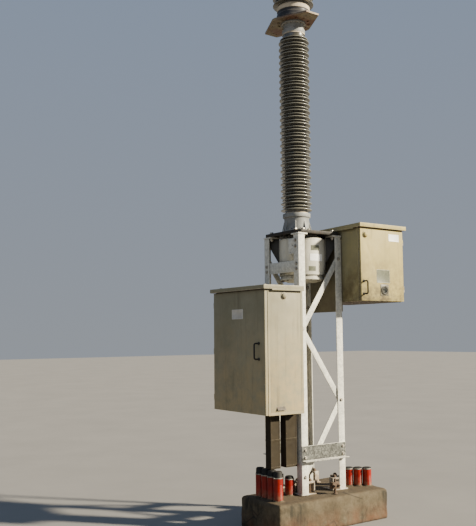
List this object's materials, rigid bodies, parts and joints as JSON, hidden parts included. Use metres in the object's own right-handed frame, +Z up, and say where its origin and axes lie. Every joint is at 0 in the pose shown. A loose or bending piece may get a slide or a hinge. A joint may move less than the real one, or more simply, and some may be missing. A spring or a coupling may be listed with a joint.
{
  "type": "substation circuit breaker",
  "caption": "One pole of an outdoor live-tank circuit breaker: porcelain columns on a galvanised lattice stand with control cubicle, drive cabinet and concrete plinth.",
  "frame": {"origin": "on the lattice stand's axis at the underside of the plinth", "axes": "+Z up along the pole; -Y towards the side with the drive cabinet's door; -X towards the control cubicle"},
  "size_m": [1.79, 1.177, 7.481],
  "materials": {
    "concrete": "rough cast, stained",
    "dark_steel": "rusted dark",
    "orange_conduit": "matt, sun-faded",
    "galvanised_steel": "dull hot-dip galvanised",
    "spangled_steel": "spangled hot-dip galvanised",
    "dark_paint": "satin",
    "cabinet_paint": "satin, dusty",
    "hinge_steel": "dull",
    "duct_paint": "matt, weathered",
    "black_plastic": "matt",
    "window_glass": "clear",
    "grey_paint": "satin",
    "flange_metal": "dull cast",
    "porcelain": "glazed, dusty",
    "weathered_terminal": "oxidised"
  },
  "bodies": {
    "root": {"plinth": "concrete", "anchor_bolts": "dark_steel", "conduit_stubs_left": "orange_conduit", "conduit_stubs_right": "orange_conduit", "conduit_seals": "black_plastic", "earth_stud": "dark_steel", "leg_front_left": "galvanised_steel", "leg_front_right": "galvanised_steel", "leg_back_left": "galvanised_steel", "leg_back_right": "galvanised_steel", "braces_front": "galvanised_steel", "braces_back": "galvanised_steel", "beam_front": "spangled_steel", "beam_back": "spangled_steel", "side_bar": "galvanised_steel", "knee_plate": "galvanised_steel", "cubicle_rails": "galvanised_steel", "drive_mount_plate": "dark_paint", "control_housing": "cabinet_paint", "control_roof": "cabinet_paint", "control_hinges": "hinge_steel", "control_vents": "cabinet_paint", "cable_ducts": "duct_paint", "drive_housing": "cabinet_paint", "drive_roof": "cabinet_paint", "drive_hinges": "hinge_steel", "pole_base_plate": "dark_paint", "pole_bolts": "galvanised_steel", "mechanism_drum": "grey_paint", "support_bottom_flange": "flange_metal", "support_insulator": "porcelain", "support_top_flange": "flange_metal", "lower_terminal": "weathered_terminal", "chamber_bottom_flange": "flange_metal", "chamber_insulator": "porcelain", "chamber_top_flange": "flange_metal", "upper_terminal": "weathered_terminal", "top_cap": "flange_metal"},
    "control_door": {"control_door": "cabinet_paint", "control_handle": "black_plastic"},
    "drive_door": {"drive_door": "cabinet_paint", "drive_handle": "black_plastic", "drive_vent": "cabinet_paint", "drive_window_frame": "dark_paint", "drive_window_glass": "window_glass"}
  },
  "joints": [
    {"name": "control_door_hinge", "type": "hinge", "parent": "root", "child": "control_door", "pos_m": [-0.769, 0.527, 1.704], "axis": [0, 0, -1], "range_deg": [0, 110]},
    {"name": "drive_door_hinge", "type": "hinge", "parent": "root", "child": "drive_door", "pos_m": [0.924, -0.553, 2.5785], "axis": [0, 0, 1], "range_deg": [0, 110]}
  ]
}
